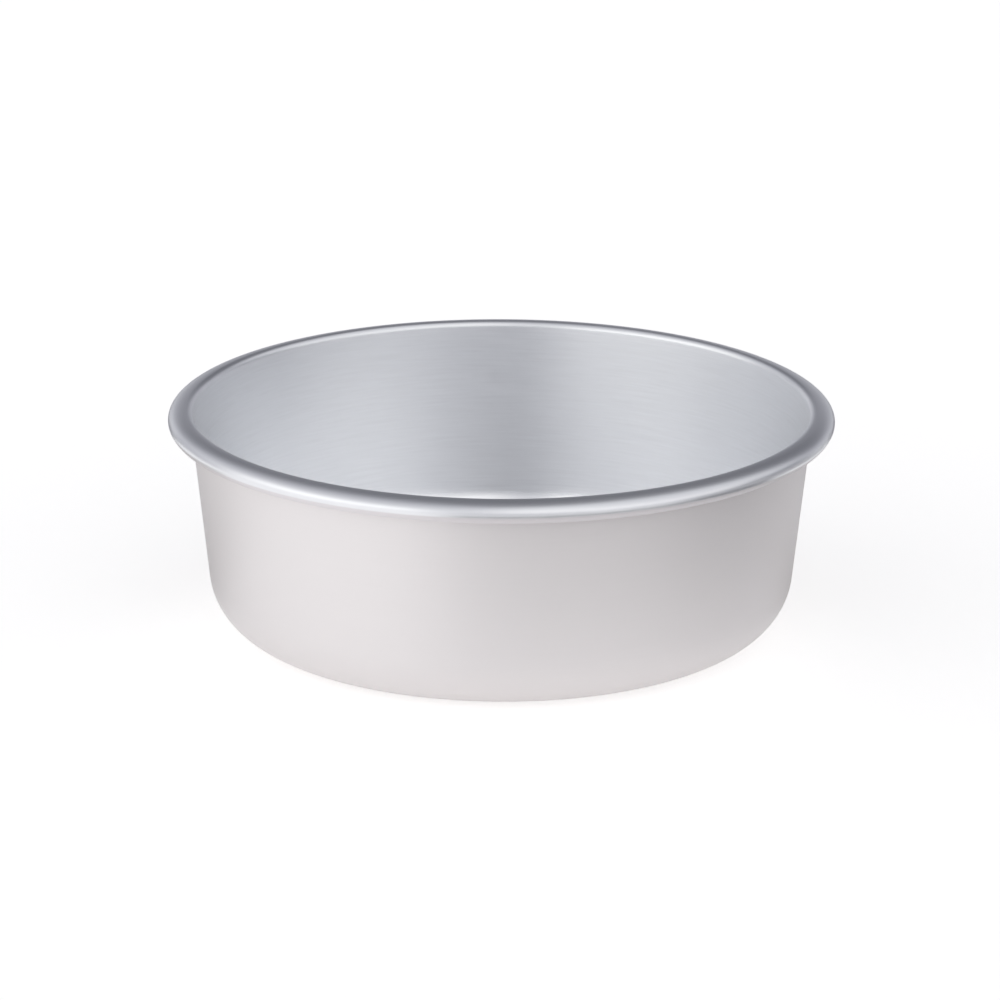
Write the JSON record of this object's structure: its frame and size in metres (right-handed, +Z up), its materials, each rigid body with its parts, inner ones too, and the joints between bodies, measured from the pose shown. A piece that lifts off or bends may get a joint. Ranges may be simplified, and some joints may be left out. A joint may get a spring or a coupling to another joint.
{
  "type": "cake pan",
  "caption": "Deep round cake pan of natural aluminium with a slightly leaning wall, a large rounded bottom corner and an outward rolled rim stiffened by a wire; holds batter for baking.",
  "frame": {"origin": "centre of the underside of the base, on the surface that the pan stands on", "axes": "+Z up along the pan's axis, +X to the right and +Y to the back in the pictured view; the wire's butted ends face +Y"},
  "size_m": [0.24, 0.24, 0.082],
  "materials": {
    "spun_aluminium": "satin outside, fine turned lines inside, burnished rolled rim",
    "wire_steel": "drawn and galvanised wire"
  },
  "bodies": {
    "root": {"pan_shell": "spun_aluminium", "rim_wire": "wire_steel"}
  },
  "joints": []
}
